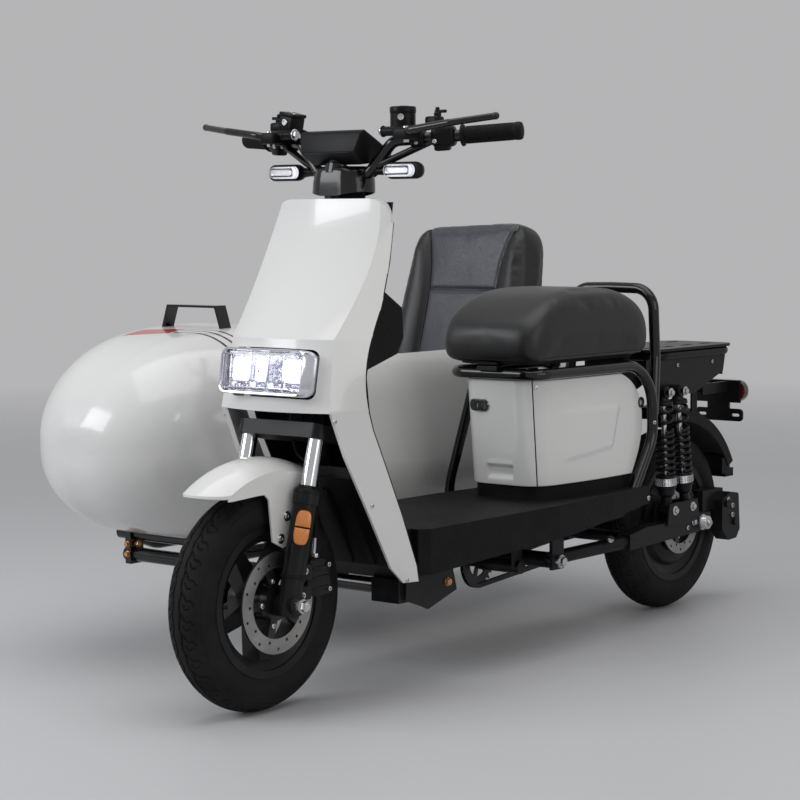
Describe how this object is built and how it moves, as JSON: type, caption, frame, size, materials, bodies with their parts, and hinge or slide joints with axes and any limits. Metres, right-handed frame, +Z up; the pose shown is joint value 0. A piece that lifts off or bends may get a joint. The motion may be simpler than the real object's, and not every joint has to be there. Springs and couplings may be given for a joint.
{
  "type": "sidecar motorcycle",
  "caption": "Small electric cargo moped with a white leg shield, bench seat, rear carrier and a rounded one-seat sidecar on its right side.",
  "frame": {"origin": "middle of the whole rig's footprint, on the floor", "axes": "+X forward, +Y to the rider's left, +Z up; the motorcycle's middle plane is at Y = +0.271 m and the sidecar is on the -Y side"},
  "size_m": [1.8799, 1.2821, 1.1189],
  "materials": {
    "tyre": "matt rubber",
    "wheel_black": "satin black",
    "disc_steel": "ground",
    "fork_chrome": "polished",
    "frame_black": "gloss black",
    "satin_black": "satin black",
    "body_white": "gloss white",
    "pod_white": "gloss white gelcoat",
    "black_plastic": "fine grained",
    "grip_rubber": "matt",
    "lens_clear": "clear",
    "reflector": "bright",
    "signal_lens": "frosted",
    "tail_red": "dark red lens",
    "seat_vinyl": "smooth vinyl",
    "car_leather": "soft leather",
    "axle_steel": "zinc plated",
    "chain_steel": "dark oiled",
    "battery_case": "satin"
  },
  "bodies": {
    "chassis": {"front_shield": "body_white", "inner_shield": "black_plastic", "belly_panel": "black_plastic", "headlight_body": "reflector", "headlight_lens": "lens_clear", "footboard": "black_plastic", "box_front_panel": "body_white", "box_side_panels": "body_white", "seat_tub": "black_plastic", "battery": "battery_case", "seat_frame": "frame_black", "grab_rail": "frame_black", "main_frame": "satin_black", "swingarm": "satin_black", "pivot_bolt": "axle_steel", "rear_shocks": "satin_black", "rear_fender": "black_plastic", "rear_axle": "axle_steel", "rear_caliper": "satin_black", "rack": "satin_black", "tail_bracket": "satin_black", "tail_lamp": "tail_red", "chainring": "chain_steel", "drive_chain": "chain_steel", "freewheel_cog": "chain_steel", "pod_shell": "pod_white", "pod_floor": "black_plastic", "sidecar_seat": "car_leather", "sidecar_backrest": "car_leather", "hood_handle": "frame_black", "sidecar_frame": "frame_black", "frame_clamp": "frame_black", "sidecar_struts": "frame_black", "sidecar_axle": "axle_steel", "sidecar_fender": "pod_white"},
    "front_wheel": {"front_tyre": "tyre", "front_rim": "wheel_black", "front_disc": "disc_steel"},
    "rear_wheel": {"rear_tyre": "tyre", "rear_hub": "wheel_black", "rear_disc": "disc_steel"},
    "sidecar_wheel": {"sidecar_tyre": "tyre", "sidecar_rim": "wheel_black"},
    "steering": {"fork_stanchions": "fork_chrome", "fork_lowers": "satin_black", "fork_yoke": "satin_black", "front_axle": "axle_steel", "front_caliper": "satin_black", "front_fender": "body_white", "handlebar": "satin_black", "grips": "grip_rubber", "brake_masters": "satin_black", "display": "black_plastic", "neck_cover": "black_plastic", "turn_signals": "black_plastic", "signal_lenses": "signal_lens", "brake_hoses": "grip_rubber"},
    "seat": {"seat_cushion": "seat_vinyl", "seat_base": "black_plastic"}
  },
  "joints": [
    {"name": "steering_turn", "type": "hinge", "parent": "chassis", "child": "steering", "pos_m": [0.70302, 0.271, 0.20023], "axis": [-0.2588, 0, 0.9659], "range_deg": [-35, 35]},
    {"name": "front_wheel_spin", "type": "hinge", "parent": "steering", "child": "front_wheel", "pos_m": [0.732, 0.271, 0.208], "axis": [0, 1, 0], "continuous": true},
    {"name": "rear_wheel_spin", "type": "hinge", "parent": "chassis", "child": "rear_wheel", "pos_m": [-0.65, 0.271, 0.208], "axis": [0, 1, 0], "continuous": true},
    {"name": "sidecar_wheel_spin", "type": "hinge", "parent": "chassis", "child": "sidecar_wheel", "pos_m": [-0.46, -0.591, 0.208], "axis": [0, 1, 0], "continuous": true},
    {"name": "seat_lift", "type": "hinge", "parent": "chassis", "child": "seat", "pos_m": [0.014, 0.271, 0.606], "axis": [0, 1, 0], "range_deg": [0, 80]}
  ]
}
